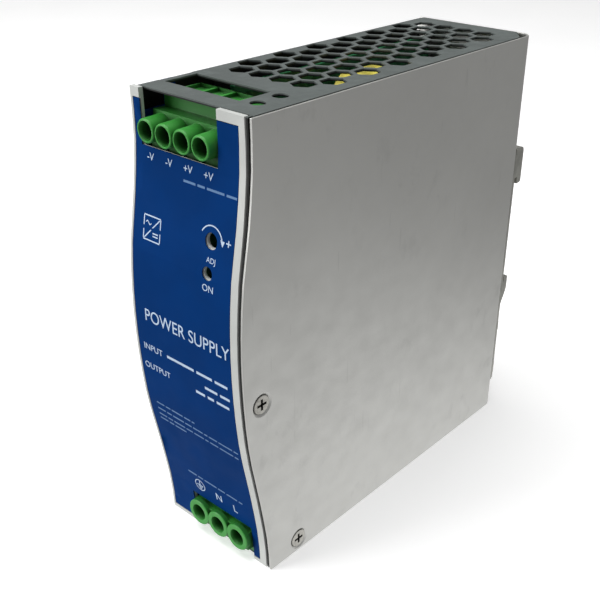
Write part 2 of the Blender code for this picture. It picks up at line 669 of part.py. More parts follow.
def insulation_sheet():
    """The folded film between the board's solder side and the case."""
    left, bottom, thick = LEFT + SHEET + GAP, 2.5, 0.5
    section = ((left, bottom), (-8, bottom), (-8, bottom + thick), (left + thick, bottom + thick),
               (left + thick, 122), (left, 122))
    film = prism("Y", section, 25, 110)
    return make("insulation_sheet", film, "film_black")


def control_board():
    board = block((-12.2, 6.0, 83.0), (12.5, 7.2, 100.5))
    return make("control_board", board, "board_green")


def trimmer():
    """The output adjuster: a box on the control board with a slotted rotor sunk in it."""
    x, z = ADJUST
    body = cut(prism("Y", rounded((x - 3.3, z - 3.3), (x + 3.3, z + 3.3), 0.4, 1), 2.4, 5.7),
               disc("Y", ADJUST, 1.9, -1, 5.2, 20))
    make("trimmer_body", body, "control_blue")
    front, slot_floor, slot_half = 1.0, 1.7, 0.25
    rotor = turned("Y", ADJUST, ((front, 1.3), (front + 0.2, 1.5), (4.4, 1.5), (4.9, 0.8)), 20)
    for half_x, half_z in ((2.0, slot_half), (slot_half, 0.8)):
        rotor = cut(rotor, block((x - half_x, front - 1, z - half_z), (x + half_x, slot_floor, z + half_z)))
    make("trimmer_rotor", rotor, "control_white", origin=(x, 0, z))


def status_led():
    x, z = LAMP
    lens = turned("Y", LAMP, ((-0.6, 0), (-0.5, 0.5), (-0.1, 0.95), (0.6, 1.2), (1.2, 1.2), (1.2, 1.5),
                              (2.0, 1.5)))
    for dx in (-0.7, 0.7):
        lens = union(lens, block((x + dx - 0.25, 1.6, z - 0.25), (x + dx + 0.25, 5.7, z + 0.25)))
    make("status_led", lens, "lamp_green")


# ---------------------------------------------------------------- power components

def can(name, y, z, radius, height, material):
    """An electrolytic capacitor standing on the board, its sleeve rolled over the rim."""
    top = FOOT + height
    profile = ((FOOT, radius - 0.4), (FOOT + 0.4, radius), (FOOT + 1.6, radius),
               (FOOT + 2.2, radius - 0.5), (FOOT + 2.8, radius), (top - 0.5, radius), (top, radius - 0.6))
    make(name, turned("X", (y, z), profile, 24), material)


def boxed(name, y0, y1, z0, z1, height, material, radius=0.6):
    body = prism("X", rounded((y0, z0), (y1, z1), radius, 2), FOOT, FOOT + height)
    make(name, body, material)


def wound_ring(name, y, z, inner, outer, low, high, material):
    """A ring core with a ridged winding, lying on the board."""
    middle, half = (inner + outer) / 2, (outer - inner) / 2
    segments, sides = 28, 8
    bm = bmesh.new()
    rings = []
    for i in range(segments):
        angle = math.tau * i / segments
        swell = 1.0 if i % 2 else 0.86
        ring = []
        for k in range(sides):
            turn = math.tau * (k + 0.5) / sides
            reach = middle + half * swell * math.cos(turn)
            x = (low + high) / 2 + (high - low) / 2 * swell * math.sin(turn)
            ring.append(bm.verts.new((x, y + reach * math.cos(angle), z + reach * math.sin(angle))))
        rings.append(ring)
    for i in range(segments):
        lower, upper = rings[i], rings[(i + 1) % segments]
        for k in range(sides):
            m = (k + 1) % sides
            bm.faces.new((lower[k], lower[m], upper[m], upper[k]))
    bmesh.ops.recalc_face_normals(bm, faces=bm.faces)
    make(name, bm, material)


def transformer():
    """A core pair lying across the case, round a tape-covered winding that stands on its bobbin."""
    x0, x1, y0, y1, z0, z1 = -7.5, 15.5, 44.0, 76.0, 103.0, 114.0
    yoke, leg, pin_radius = 6.0, 5.5, 5.0
    axis = ((y0 + y1) / 2, (z0 + z1) / 2)
    window = ((x0 + yoke, y0 + leg), (x1 - yoke + 0.2, y0 + leg),
              (x1 - yoke + 0.2, y1 - leg), (x0 + yoke, y1 - leg))
    frame = prism("Z", ((x0, y0), (x1, y0), (x1, y1), (x0, y1)), z0, z1, [window])
    core = union(frame, disc("X", axis, pin_radius, x0 + yoke / 2, x1 - yoke / 2))
    make("transformer_core", core, "ferrite")
    bore = arc(axis, pin_radius + 0.4, 0, 337.5, 15)[::-1]
    outline = rounded((y0 + leg + GAP, 95.0), (y1 - leg - GAP, 121.5), 5, 4)
    coil = prism("X", outline, window[0][0] + GAP, window[1][0] - GAP, [bore])
    bobbin = block((FOOT, 52, 96.5), (0, 68, z0 - GAP))
    make("transformer_winding", union(coil, bobbin), "tape_yellow")


def heatsinks():
    """Two upright plates with a folded foot, and the packages clamped to them."""
    top, thick, foot = 15.0, 2.0, FOOT + 2
    for name, y, toe, z0, z1 in (("primary_heatsink", 103, 5.0, 30, 80),
                                 ("secondary_heatsink", 46, 4.4, 58, 93)):
        section = ((FOOT, y), (top, y), (top, y + thick), (foot, y + thick), (foot, y + toe),
                   (FOOT, y + toe))
        make(name, prism("Z", section, z0, z1), "heatsink")
    for name, y_face, z in (("mosfet", 103, 40), ("output_rectifier", 46, 84)):
        tab = block((-4, y_face - 1.6, z - 5), (12, y_face - GAP, z + 5))
        moulding = block((-4, y_face - 4.8, z - 5), (5, y_face - 0.9, z + 5))
        package = union(tab, moulding)
        for dz in (-2.54, 0, 2.54):
            lead = block((FOOT, y_face - 3.2, z + dz - 0.4), (-3.5, y_face - 2.6, z + dz + 0.4))
            package = union(package, lead)
        package = cut(package, disc("Y", (9, z), 1.7, y_face - 6, y_face + 1, 12))
        make(name, package, "package_black")
    make("bridge_rectifier", block((-6, 103 - 4.0, 54), (12, 103 - GAP, 75)), "package_black")


def components():
    transformer()
    heatsinks()
    can("bulk_capacitor", 84, 24, 11.0, 28.5, "sleeve_black")
    can("output_capacitor_1", 33, 76, 5.0, 22.0, "sleeve_black")
    can("output_capacitor_2", 33, 64.5, 5.0, 22.0, "sleeve_black")
    boxed("film_capacitor", 31, 44, 89.4, 98.4, 13.0, "box_yellow")
    boxed("x_capacitor", 30, 48, 19, 27.5, 16.0, "box_yellow")
    wound_ring("emi_choke", 40, 42, 4.0, 11.5, FOOT, FOOT + 10, "enamel_copper")
    wound_ring("output_inductor", 76, 60, 3.6, 11.0, FOOT, FOOT + 10, "enamel_copper")
    fuse = ((7, 2.2), (7.3, 2.6), (12, 2.6), (12, 2.3), (22, 2.3), (22, 2.6), (26.7, 2.6), (27, 2.2))
    make("fuse", turned("Z", (-8, 54), fuse), "ceramic")
    thermistor = ((64, 4.8), (64.8, 6.2), (67.2, 6.2), (68, 4.8))
    make("thermistor", turned("Y", (-5, 15), thermistor, 20), "disc_green")


def build():
    clear_scene()
    chassis_shell()
    side_cover()
    for index, place in enumerate(COVER_SCREWS, 1):
        cover_screw(index, place)
    front_panel()
    front_label()
    panel_snap_tab()
    din_clip_base()
    din_latch()
    latch_spring()
    for index, z in enumerate(CLIP_SCREWS_Z, 1):
        clip_screw(index, z)
    terminals()
    main_board()
    insulation_sheet()
    control_board()
    trimmer()
    status_led()
    components()


build()
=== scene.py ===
"""Looks of the DIN rail power supply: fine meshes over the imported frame, materials, studio and camera.

Sizes here are in millimetres and are turned into metres where a mesh or a light is made. The row's
frame is used throughout: X to the right seen from the front, Y to the rear, Z up from the bottom.
"""

import json
import math

import bmesh
import bpy
from mathutils import Matrix, Vector


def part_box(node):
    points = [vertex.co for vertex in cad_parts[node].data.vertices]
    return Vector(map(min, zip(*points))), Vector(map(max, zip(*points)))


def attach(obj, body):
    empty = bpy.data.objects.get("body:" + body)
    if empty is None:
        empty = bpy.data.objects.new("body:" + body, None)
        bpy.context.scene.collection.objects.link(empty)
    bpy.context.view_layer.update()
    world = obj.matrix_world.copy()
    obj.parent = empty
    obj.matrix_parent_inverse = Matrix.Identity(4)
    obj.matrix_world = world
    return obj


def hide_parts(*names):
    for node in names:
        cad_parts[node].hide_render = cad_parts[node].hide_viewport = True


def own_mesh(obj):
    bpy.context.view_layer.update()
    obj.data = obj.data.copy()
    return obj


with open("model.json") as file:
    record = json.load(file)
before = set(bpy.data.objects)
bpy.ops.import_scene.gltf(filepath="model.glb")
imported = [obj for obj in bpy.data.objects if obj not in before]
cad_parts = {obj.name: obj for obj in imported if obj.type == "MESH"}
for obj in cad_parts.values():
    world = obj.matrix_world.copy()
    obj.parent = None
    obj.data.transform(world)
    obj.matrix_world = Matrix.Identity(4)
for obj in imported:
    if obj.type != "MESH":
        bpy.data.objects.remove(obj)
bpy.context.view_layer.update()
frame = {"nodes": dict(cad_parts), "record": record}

MM = 0.001
record = frame["record"]
SLOT_OF = {part["node"]: part["material_slot"] for part in record["subparts"]}
BODY_OF = {node: body for body, nodes in record["behaviour"]["bodies"].items() for node in nodes}

# How deep inside the case's outline its painted shade begins, and how dark that painted shade is
SHADE_START_DEPTH = 0.45
INSIDE_SHADE_TONE = 0.06

# How far the chassis's flange beside the front reaches past the rest of its right side
FLANGE_WIDTH = 0.6

# How strongly painted shade darkens a terminal's hollows
TERMINAL_HOLLOW_SHADE = 0.95


# ---------------------------------------------------------------- material tools

class Surface:
    """A Principled material, with its patterns laid out in object space at real size."""

    def __init__(self, name, color, roughness=0.5, metallic=0.0):
        self.material = bpy.data.materials.new(name)
        self.material.use_nodes = True
        self.tree = self.material.node_tree
        self.shader = self.tree.nodes["Principled BSDF"]
        self.set("Base Color", (*color, 1))
        self.set("Roughness", roughness)
        self.set("Metallic", metallic)
        self.place = self.tree.nodes.new("ShaderNodeTexCoord").outputs["Object"]

    def set(self, socket, value):
        self.shader.inputs[socket].default_value = value

    def link(self, output, target):
        self.tree.links.new(output, target)

    def node(self, kind, **values):
        made = self.tree.nodes.new(kind)
        for key, value in values.items():
            setattr(made, key, value)
        return made

    def stretched(self, factors):
        """The place, scaled by a factor on each axis."""
        if factors == (1, 1, 1):
            return self.place
        mapping = self.node("ShaderNodeMapping")
        mapping.inputs["Scale"].default_value = factors
        self.link(self.place, mapping.inputs["Vector"])
        return mapping.outputs["Vector"]

    def noise(self, size, detail=3.0, stretch=(1, 1, 1), rough=0.5):
        """Noise whose features are about size millimetres across."""
        texture = self.node("ShaderNodeTexNoise")
        texture.inputs["Scale"].default_value = 1 / (size * MM)
        texture.inputs["Detail"].default_value = detail
        texture.inputs["Roughness"].default_value = rough
        self.link(self.stretched(stretch), texture.inputs["Vector"])
        return texture.outputs["Fac"]

    def cells(self, size):
        texture = self.node("ShaderNodeTexVoronoi")
        texture.inputs["Scale"].default_value = 1 / (size * MM)
        self.link(self.place, texture.inputs["Vector"])
        return texture.outputs["Distance"]

    def ranged(self, value, low, high, to_low=0.0, to_high=1.0):
        """A value between low and high, spread from to_low to to_high."""
        spread = self.node("ShaderNodeMapRange")
        ends = {"From Min": low, "From Max": high, "To Min": to_low, "To Max": to_high}
        for socket, number in ends.items():
            spread.inputs[socket].default_value = number
        self.link(value, spread.inputs["Value"])
        return spread.outputs["Result"]

    def axes(self):
        """The place's coordinates, one output each."""
        split = self.node("ShaderNodeSeparateXYZ")
        self.link(self.place, split.inputs["Vector"])
        return [split.outputs[axis] for axis in "XYZ"]

    def math(self, operation, *terms):
        """Arithmetic on numbers and other nodes' outputs."""
        step = self.node("ShaderNodeMath", operation=operation)
        for socket, term in zip(step.inputs, terms):
            if isinstance(term, (int, float)):
                socket.default_value = term
            else:
                self.link(term, socket)
        return step.outputs["Value"]

    def times(self, a, b):
        return self.math("MULTIPLY", a, b)

    def inside(self, low, high, depth):
        """1 for what lies deeper than a depth inside a box, except from front or rear, and 0 on its skin."""
        x, _, z = self.axes()
        nearest = self.math("SUBTRACT", x, low.x)
        for distance in (self.math("SUBTRACT", high.x, x), self.math("SUBTRACT", z, low.z),
                         self.math("SUBTRACT", high.z, z)):
            nearest = self.math("MINIMUM", nearest, distance)
        return self.ranged(nearest, depth * 0.6 * MM, depth * MM)

    def hollows(self, reach, local=True):
        """1 in corners and recesses narrower than a reach in millimetres, and 0 in the open."""
        occlusion = self.node("ShaderNodeAmbientOcclusion", samples=6, only_local=local)
        occlusion.inputs["Distance"].default_value = reach * MM
        return self.ranged(occlusion.outputs["AO"], 0.25, 0.85, 1.0, 0.0)

    def blend(self, amount, first, second):
        """The colour between two, where each is a colour or another node's output."""
        mix = self.node("ShaderNodeMix", data_type="RGBA")
        self.link(amount, mix.inputs["Factor"])
        for socket, color in ((mix.inputs[6], first), (mix.inputs[7], second)):
            if isinstance(color, tuple):
                socket.default_value = (*color, 1)
            else:
                self.link(color, socket)
        return mix.outputs[2]

    def color(self, output):
        self.link(output, self.shader.inputs["Base Color"])

    def roughness(self, output):
        self.link(output, self.shader.inputs["Roughness"])

    def relief(self, *layers):
        """Bumps on top of each other: each layer is a height from 0 to 1 and its depth in millimetres."""
        normal = None
        for height, depth in layers:
            bump = self.node("ShaderNodeBump")
            bump.inputs["Distance"].default_value = depth * MM
            self.link(height, bump.inputs["Height"])
            if normal:
                self.link(normal, bump.inputs["Normal"])
            normal = bump.outputs["Normal"]
        self.link(normal, self.shader.inputs["Normal"])


def shade(color, factor):
    return tuple(channel * factor for channel in color)


def moulded(name, color, rough=(0.38, 0.5), grain=0.12, depth=0.006, hollow_shade=0.0):
    """Moulded plastic: fine spark-eroded grain, a slow drift of tone and gloss, and painted shade in the
    hollows if asked for.
    """
    s = Surface(name, color)
    blotch = 9.0
    drift = s.blend(s.ranged(s.noise(blotch), 0.35, 0.65), shade(color, 0.9), color)
    # Painted shade: hollows and places close to other parts are darkened almost to black by ambient
    # occlusion
    if hollow_shade:
        drift = s.blend(s.times(s.hollows(5.0, local=False), hollow_shade), drift, shade(color, 0.04))
    s.color(drift)
    s.roughness(s.ranged(s.noise(blotch / 3, detail=5), 0.35, 0.65, *rough))
    s.relief((s.noise(grain, detail=2), depth), (s.noise(blotch * 1.5, detail=1), depth * 6))
    return s.material


# Moulded plastic with strong painted shade in its hollows
def moulded_with_painted_shade(name, color):
    return moulded(name, color, hollow_shade=TERMINAL_HOLLOW_SHADE)


def rolled_sheet(name, color):
    """Bright rolled sheet: faint rolling lines, cloudy patches, a few finger smudges and thin scratches."""
    s = Surface(name, color, metallic=1.0)
    clouds = s.ranged(s.noise(26, detail=3), 0.36, 0.68)
    smudges = s.ranged(s.noise(8, detail=5, stretch=(1, 1.3, 0.9), rough=0.6), 0.56, 0.76)
    lines = s.noise(0.35, detail=3, stretch=(1, 0.02, 1))
    tone = s.blend(clouds, shade(color, 0.965), color)
    patches = s.ranged(s.noise(38, detail=1), 0.5, 0.62)
    tone = s.blend(s.times(smudges, patches), tone, shade(color, 0.86))
    scratch = s.ranged(s.noise(1.1, detail=1, stretch=(1, 0.9, 0.06)), 0.745, 0.765)
    s.color(s.blend(scratch, tone, shade(color, 0.92)))
    s.roughness(s.ranged(s.noise(5, detail=5, stretch=(1, 0.7, 1)), 0.3, 0.7, 0.42, 0.52))
    s.relief((lines, 0.0015), (s.noise(0.06, detail=2), 0.0012), (s.noise(30, detail=1), 0.04))
    return s.material


def painted_sheet(name, color):
    """Stoved grey paint on steel: fine orange peel, dust and rubbed patches, and painted shade that makes it
    dark inside the case.
    """
    s = Surface(name, color)
    dust = s.ranged(s.noise(4, detail=6, rough=0.65), 0.5, 0.8)
    drift = s.blend(s.ranged(s.noise(18), 0.4, 0.6), shade(color, 0.88), color)
    outside = s.blend(dust, drift, shade(color, 1.25))
    low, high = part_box("chassis_shell")
    flange = Vector((FLANGE_WIDTH * MM, 0, 0))
    # Painted shade: sheet deeper inside the case than its skin, vent edges included, is darkened almost to
    # black
    s.color(s.blend(s.inside(low, high + flange, SHADE_START_DEPTH), outside, shade(color, INSIDE_SHADE_TONE)))
    s.roughness(s.ranged(s.noise(3, detail=5), 0.35, 0.65, 0.46, 0.62))
    s.relief((s.noise(0.35, detail=2), 0.012), (s.noise(0.08, detail=1), 0.003))
    s.set("Specular IOR Level", 0.3)
    return s.material


def cast(name, color):
    """Die-cast metal, tumbled and dull, darker where it was handled."""
    s = Surface(name, color, metallic=0.9)
    s.color(s.blend(s.ranged(s.noise(6, detail=5), 0.4, 0.7), color, shade(color, 0.75)))
    s.roughness(s.ranged(s.noise(1.5, detail=5), 0.35, 0.65, 0.42, 0.6))
    s.relief((s.noise(0.22, detail=4), 0.016), (s.cells(0.6), 0.004))
    return s.material


def plated(name, color):
    """Plated or drawn metal with fine turning marks, slight staining and painted shade darkening its
    recesses.
    """
    s = Surface(name, color, metallic=1.0)
    stained = s.blend(s.ranged(s.noise(1.2, detail=5), 0.45, 0.75), color, shade(color, 0.62))
    # Painted shade: recesses are darkened almost to black by ambient occlusion
    s.color(s.blend(s.hollows(1.4), stained, shade(color, 0.03)))
    s.roughness(s.ranged(s.noise(0.6, detail=4), 0.35, 0.65, 0.25, 0.42))
    s.relief((s.noise(0.15, detail=3), 0.004))
    return s.material


def printed_film(name, color):
    """Printed polyester film: velvet texture with almost no gloss."""
    s = Surface(name, color)
    s.color(s.blend(s.ranged(s.noise(14, detail=3), 0.4, 0.62), shade(color, 0.94), shade(color, 1.05)))
    s.roughness(s.ranged(s.noise(6, detail=5), 0.35, 0.65, 0.55, 0.65))
    s.relief((s.noise(0.09, detail=1), 0.002))
    s.set("Specular IOR Level", 0.03)
    return s.material


def board(name, color):
    """Solder mask over copper tracks, with the glass weave just showing."""
    s = Surface(name, color)
    tracks = s.ranged(s.cells(3.2), 0.42, 0.46)
    s.color(s.blend(tracks, color, shade(color, 1.7)))
    s.roughness(s.ranged(s.noise(2, detail=3), 0.4, 0.6, 0.28, 0.42))
    s.relief((tracks, 0.03), (s.noise(0.25, detail=1, stretch=(1, 4, 1)), 0.004))
    return s.material


def taped(name, color):
    """Polyester tape wound in laps, slightly creased."""
    s = Surface(name, color)
    lap = s.noise(2.4, detail=1, stretch=(0.05, 0.05, 1))
    s.color(s.blend(s.ranged(lap, 0.4, 0.6), shade(color, 0.86), color))
    s.roughness(s.ranged(s.noise(3, detail=3), 0.4, 0.6, 0.22, 0.4))
    s.relief((lap, 0.06), (s.noise(1.2, detail=3), 0.02))
    return s.material


def clear_lens(name, color):
    """Tinted clear resin with the die's haze inside."""
    s = Surface(name, color, roughness=0.15)
    s.color(s.blend(s.ranged(s.noise(0.8, detail=2), 0.4, 0.6), color, shade(color, 1.3)))
    s.relief((s.noise(0.3, detail=1), 0.003))
    s.set("Transmission Weight", 0.5)
    s.set("IOR", 1.5)
    s.set("Emission Color", (*color, 1))
    s.set("Emission Strength", 0.35)
    return s.material


FINISHES = {
    "case_grey": (painted_sheet, (0.095, 0.11, 0.106)),
    "bright_sheet": (rolled_sheet, (0.64, 0.64, 0.615)),
    "panel_white": (moulded, (0.56, 0.575, 0.555)),
    "label_blue": (printed_film, (0.0002, 0.03, 0.145)),
    "terminal_green": (moulded_with_painted_shade, (0.034, 0.28, 0.034)),
    "zinc": (plated, (0.5, 0.49, 0.45)),
    "clip_cast": (cast, (0.5, 0.5, 0.46)),
    "spring_steel": (plated, (0.42, 0.42, 0.43)),
    "tinned_copper": (plated, (0.65, 0.62, 0.56)),
    "board_green": (board, (0.012, 0.09, 0.035)),
    "film_black": (moulded, (0.02, 0.02, 0.022)),
    "control_white": (moulded, (0.68, 0.68, 0.64)),
    "control_blue": (moulded, (0.02, 0.1, 0.42)),
    "lamp_green": (clear_lens, (0.1, 0.42, 0.12)),
    "sleeve_black": (moulded, (0.015, 0.016, 0.02)),
    "ferrite": (cast, (0.03, 0.03, 0.032)),
    "tape_yellow": (taped, (0.78, 0.68, 0.1)),
    "box_yellow": (moulded, (0.62, 0.55, 0.12)),
    "enamel_copper": (plated, (0.5, 0.17, 0.05)),
    "ceramic": (moulded, (0.62, 0.58, 0.5)),
    "disc_green": (moulded, (0.05, 0.09, 0.05)),
    "heatsink": (plated, (0.6, 0.61, 0.62)),
    "package_black": (moulded, (0.02, 0.02, 0.02)),
}
MATERIALS = {slot: make(slot, color) for slot, (make, color) in FINISHES.items()}


# ---------------------------------------------------------------- fine meshes over the frame

# Points closer than this, in metres, are one
WELD = 1e-6


def place(piece, body, slot, *nodes, material=None):
    """Puts a finished piece on its body, in the place of CAD nodes."""
    piece.data.materials.clear()
    piece.data.materials.append(material or MATERIALS[slot])
    if nodes:
        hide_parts(*nodes)
    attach(piece, body)
    return piece


def add_object(name, mesh):
    obj = bpy.data.objects.new(name, mesh)
    bpy.context.collection.objects.link(obj)
    return obj


def soften(obj, width, angle):
    """Rounds the edges that turn by more than an angle, and shades the rest smooth."""
    obj.data.shade_smooth()
    bevel = obj.modifiers.new("edges", "BEVEL")
    bevel.width = width * MM
    bevel.segments = 2
    bevel.limit_method = "ANGLE"
    bevel.angle_limit = math.radians(angle)
    bevel.use_clamp_overlap = True
    bevel.harden_normals = True
    bevel.miter_outer = "MITER_ARC"
    evened = obj.modifiers.new("normals", "WEIGHTED_NORMAL")
    evened.keep_sharp = True


# Nodes whose flat faces have holes, which joining would break
PIERCED = ("chassis_shell", "front_panel", "output_terminal_housing", "input_terminal_housing",
           "output_terminal_board", "input_terminal_board", "main_board", "din_clip_base")


def refined(node, width, angle=32):
    """A copy of a CAD node with its edges rounded, and its flat faces joined unless they are pierced."""
    bm = bmesh.new()
    bm.from_mesh(frame["nodes"][node].data)
    bmesh.ops.remove_doubles(bm, verts=bm.verts, dist=WELD)
    if node not in PIERCED:
        bmesh.ops.dissolve_limit(bm, angle_limit=math.radians(0.8), verts=bm.verts, edges=bm.edges)
    mesh = bpy.data.meshes.new(node + "_fine")
    bm.to_mesh(mesh)
    bm.free()
    obj = add_object(node + "_fine", mesh)
    soften(obj, width, angle)
    return place(obj, BODY_OF[node], SLOT_OF[node], node)


# How wide each slot's edges are rounded
EDGE_WIDTHS = {
    "case_grey": 0.12, "bright_sheet": 0.12, "panel_white": 0.3, "terminal_green": 0.15, "zinc": 0.08,
    "clip_cast": 0.3, "tinned_copper": 0.08, "board_green": 0.08, "film_black": 0.08,
    "control_white": 0.08, "control_blue": 0.15, "lamp_green": 0.06, "sleeve_black": 0.2,
    "ferrite": 0.25, "tape_yellow": 0.2, "box_yellow": 0.2, "ceramic": 0.1, "disc_green": 0.2,
    "heatsink": 0.15, "package_black": 0.12, "label_blue": 0.06,
}


# ---------------------------------------------------------------- label and its print

def front_profile():
    """The label's front face seen from the side, as (height, depth) in millimetres."""
    points = {}
    for vertex in frame["nodes"]["front_label"].data.vertices:
        z, y = round(vertex.co.z / MM, 3), vertex.co.y / MM
        points[z] = min(points.get(z, y), y)
    return sorted(points.items())


PROFILE = front_profile()


def face_depth(z):
    for (z0, y0), (z1, y1) in zip(PROFILE, PROFILE[1:]):
        if z <= z1:
            return y0 + (y1 - y0) * (z - z0) / (z1 - z0)
    return PROFILE[-1][1]


# The ink's thickness, how far its front lies behind the CAD label's face, and how far the film's does
PRINT_DEPTH = 0.04
PRINT_RISE = 0.02
FILM_SET_BACK = 0.05
FILM_GRID = 3.0

# The openings in the label, as (left, right, bottom, top), and how far its film reaches in over their edges
LABEL_OPENINGS = ((-17.0, 9.4, 111.6, None), (-10.0, 13.7, None, 11.6))
FILM_OVERLAP = 0.18


def text(words, x, z, height, width=None):
    """Lettering as flat outlines centred on a place, fitted to a height, and to a width if given."""
    curve = bpy.data.curves.new("lettering", "FONT")
    curve.body = words
    half = 0.5
    curve.extrude = half
    obj = add_object("lettering", curve)
    mesh = bpy.data.meshes.new_from_object(obj.evaluated_get(bpy.context.evaluated_depsgraph_get()))
    bpy.data.objects.remove(obj)
    bpy.data.curves.remove(curve)
    low = [min(v.co[i] for v in mesh.vertices) for i in range(3)]
    high = [max(v.co[i] for v in mesh.vertices) for i in range(3)]
    rise = height / (high[1] - low[1])
    run = width / (high[0] - low[0]) if width else rise
    for v in mesh.vertices:
        u = (v.co[0] - (low[0] + high[0]) / 2) * run
        h = (v.co[1] - (low[1] + high[1]) / 2) * rise
        v.co = Vector((x + u, v.co[2] / half, z + h))
    return mesh


def add_text(bm, *args, **kwargs):
    mesh = text(*args, **kwargs)
    bm.from_mesh(mesh)
    bpy.data.meshes.remove(mesh)


def add_outline(bm, points):
    """A printed shape from its outline of (x, z) points, as a thin closed slab."""
    front = [bm.verts.new((x, -1, z)) for x, z in points]
    back = [bm.verts.new((x, 1, z)) for x, z in points]
    faces = [bm.faces.new(front), bm.faces.new(back[::-1])]
    for i in range(len(points)):
        j = (i + 1) % len(points)
        faces.append(bm.faces.new((front[j], front[i], back[i], back[j])))
    bmesh.ops.recalc_face_normals(bm, faces=faces)


def add_bar(bm, x0, x1, z, height):
    add_outline(bm, ((x0, z - height / 2), (x1, z - height / 2), (x1, z + height / 2), (x0, z + height / 2)))


def add_words(bm, x0, x1, z, height, lengths=(5, 3, 7, 4, 6, 2, 5, 8)):
    """A line of illegible small print: bars as long as words, from x0 to x1."""
    x, k = x0, 0
    while x < x1 - height:
        end = min(x + lengths[k % len(lengths)] * height * 0.62, x1)
        add_bar(bm, x, end, z, height * 0.42)
        x, k = end + height * 0.55, k + 1


def ring_points(x, z, radius, start, stop, steps):
    angles = [math.radians(start + (stop - start) * i / steps) for i in range(steps + 1)]
    return [(x + radius * math.cos(a), z + radius * math.sin(a)) for a in angles]


def turn_arrow(bm, x, z, radius, line):
    """The arrow round the adjuster, from its upper left to its right, with a plus sign after it."""
    start, stop = 152, 12
    outer, inner = radius + line / 2, radius - line / 2
    add_outline(bm, ring_points(x, z, outer, start, stop, 14) + ring_points(x, z, inner, stop, start, 14))
    tip_x, tip_z = x + radius + 0.05, z - 0.35
    add_outline(bm, ((tip_x - 0.75, tip_z + 1.5), (tip_x + 0.7, tip_z + 1.35), (tip_x + 0.1, tip_z)))
    plus_x, plus_z, arm = x + 5.6, z + 0.9, 0.75
    add_bar(bm, plus_x - arm, plus_x + arm, plus_z, line)
    add_bar(bm, plus_x - line / 2, plus_x + line / 2, plus_z, arm * 2)


def label_print():
    """Everything printed on the label, wrapped on its curved face."""
    bold, faint = bmesh.new(), bmesh.new()
    for x, words in ((-13.7, "-V"), (-7.2, "-V"), (-0.6, "+V"), (6.25, "+V")):
        add_text(bold, words, x, 109.5, 1.8)
    turn_arrow(bold, 8.3, 95.1, 3.6, 0.3)
    add_text(bold, "ADJ", 8.75, 90.5, 1.7)
    add_text(bold, "ON", 8.2, 83.8, 1.7)
    converter_symbol(bold, -12.2, 92.4)
    add_text(bold, "POWER SUPPLY", 0.1, 69.0, 3.4, width=30.6)
    add_text(bold, "INPUT", -13.4, 59.3, 1.8)
    add_words(bold, -8.0, 15.5, 59.3, 1.8, (9, 5, 4, 3))
    add_words(bold, 5.7, 15.5, 55.9, 1.8, (4, 3, 5))
    add_text(bold, "OUTPUT", -12.7, 53.4, 1.8)
    add_words(bold, 2.0, 15.6, 53.2, 1.8, (3, 2, 4, 3))
    add_text(bold, "N", 1.8, 15.6, 2.4)
    add_text(bold, "L", 8.2, 15.2, 2.4)
    earth_symbol(bold, -5.75, 16.0)
    add_words(faint, -2.0, 15.7, 106.6, 1.3)
    for x1, z in ((-1, 41.3), (14.8, 39.3), (14.6, 37.4), (-5, 35.9)):
        add_words(faint, -16, x1, z, 1.0)
    add_words(faint, -9.75, 12.3, 19.3, 1.1)
    for name, bm, color in (("label_print", bold, (0.5, 0.62, 0.78)),
                            ("label_small_print", faint, (0.09, 0.2, 0.4))):
        for v in bm.verts:
            v.co.y = face_depth(v.co.z) + PRINT_RISE + (0 if v.co.y < 0 else PRINT_DEPTH)
        bmesh.ops.scale(bm, vec=(MM,) * 3, verts=bm.verts)
        mesh = bpy.data.meshes.new(name)
        bm.to_mesh(mesh)
        bm.free()
        ink = moulded(name + "_ink", color, rough=(0.4, 0.5), grain=0.1, depth=0.001)
        place(add_object(name, mesh), "case", "panel_white", material=ink)


def converter_symbol(bm, x, z, half=3.0, line=0.3):
    """The standard sign for a converter: a square cut by a slope, a wave and a double line."""
    for side in (-1, 1):
        add_bar(bm, x - half, x + half, z + side * half, line)
        add_bar(bm, x + side * half - line / 2, x + side * half + line / 2, z, half * 2 - line)
    slope = line * 0.7
    add_outline(bm, ((x - half + line, z - half + line), (x - half + line + slope, z - half + line),
                     (x + half - line, z + half - line - slope), (x + half - line, z + half - line),
                     (x + half - line - slope, z + half - line), (x - half + line, z - half + line + slope)))
    wave = [(-2.3 + 0.2 * i, 1.25 + 0.4 * math.sin(math.tau * i / 10)) for i in range(11)]
    add_outline(bm, [(x + u, z + w + line / 2) for u, w in wave]
                + [(x + u, z + w - line / 2) for u, w in wave[::-1]])
    for rise in (-1.0, -1.7):
        add_bar(bm, x + 0.4, x + 2.3, z + rise, line)


def earth_symbol(bm, x, z):
    add_bar(bm, x - 0.15, x + 0.15, z + 0.75, 1.5)
    for width, drop in ((1.2, 0.0), (0.8, 0.6), (0.4, 1.2)):
        add_bar(bm, x - width, x + width, z - drop - 0.15, 0.3)
    outer, inner = ring_points(x, z - 0.1, 2.0, 0, 359, 24), ring_points(x, z - 0.1, 1.75, 359, 0, 24)
    add_outline(bm, outer + inner)


# ---------------------------------------------------------------- spring

def tube(name, path, radius):
    """A round wire along a path of points in millimetres."""
    bm = bmesh.new()
    rings, sides = [], 8
    for i, point in enumerate(path):
        before, after = path[max(i - 1, 0)], path[min(i + 1, len(path) - 1)]
        along = (after - before).normalized()
        side = along.cross(Vector((0.3, 0.2, 1))).normalized()
        up = along.cross(side)
        rings.append([bm.verts.new((point + radius * (side * math.cos(a) + up * math.sin(a))) * MM)
                      for a in (math.tau * k / sides for k in range(sides))])
    for lower, upper in zip(rings, rings[1:]):
        for k in range(sides):
            m = (k + 1) % sides
            bm.faces.new((lower[k], lower[m], upper[m], upper[k]))
    bm.faces.new(rings[0])
    bm.faces.new(rings[-1])
    bmesh.ops.recalc_face_normals(bm, faces=bm.faces)
    mesh = bpy.data.meshes.new(name)
    bm.to_mesh(mesh)
    bm.free()
    mesh.shade_smooth()
    return add_object(name, mesh)


